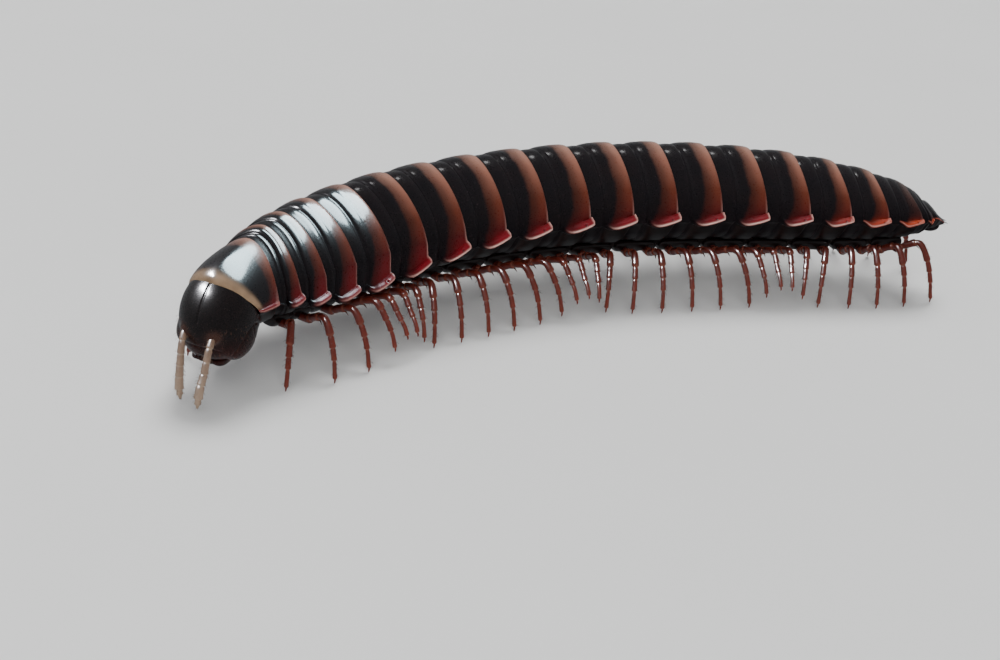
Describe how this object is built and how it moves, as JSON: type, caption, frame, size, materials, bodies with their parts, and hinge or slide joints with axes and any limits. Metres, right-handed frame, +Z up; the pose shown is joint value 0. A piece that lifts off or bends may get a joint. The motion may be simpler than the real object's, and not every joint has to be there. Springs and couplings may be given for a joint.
{
  "type": "millipede",
  "caption": "Life-size model of a large flat-backed millipede walking on a flat floor, its body in a gentle curve, dark glossy rings with red-brown bands, small side keels and red-brown legs.",
  "frame": {"origin": "centre of the bounding box in plan, on the floor that the feet stand on", "axes": "+Z up; +X towards the tail along the body's greatest length, the head towards -X; -Y on the animal's left side"},
  "size_m": [0.0632, 0.0194, 0.0104],
  "materials": {
    "shell": "glossy black-brown with red-brown bands and pale keel rims",
    "head": "glossy dark brown",
    "antennae": "satin brown with fine hair",
    "legs": "glossy red-brown"
  },
  "bodies": {
    "root": {"head": "head", "mouth_plate": "head", "antenna_left": "antennae", "antenna_right": "antennae", "collum": "shell", "ring_02": "shell", "ring_03": "shell", "ring_04": "shell", "ring_05": "shell", "ring_06": "shell", "ring_07": "shell", "ring_08": "shell", "ring_09": "shell", "ring_10": "shell", "ring_11": "shell", "ring_12": "shell", "ring_13": "shell", "ring_14": "shell", "ring_15": "shell", "ring_16": "shell", "ring_17": "shell", "ring_18": "shell", "ring_19": "shell", "telson": "shell", "legs_02_left": "legs", "legs_02_right": "legs", "legs_03_left": "legs", "legs_03_right": "legs", "legs_04_left": "legs", "legs_04_right": "legs", "legs_05_left": "legs", "legs_05_right": "legs", "legs_06_left": "legs", "legs_06_right": "legs", "legs_07_left": "legs", "legs_07_right": "legs", "legs_08_left": "legs", "legs_08_right": "legs", "legs_09_left": "legs", "legs_09_right": "legs", "legs_10_left": "legs", "legs_10_right": "legs", "legs_11_left": "legs", "legs_11_right": "legs", "legs_12_left": "legs", "legs_12_right": "legs", "legs_13_left": "legs", "legs_13_right": "legs", "legs_14_left": "legs", "legs_14_right": "legs", "legs_15_left": "legs", "legs_15_right": "legs", "legs_16_left": "legs", "legs_16_right": "legs", "legs_17_left": "legs", "legs_17_right": "legs", "legs_18_left": "legs", "legs_18_right": "legs"}
  },
  "joints": []
}
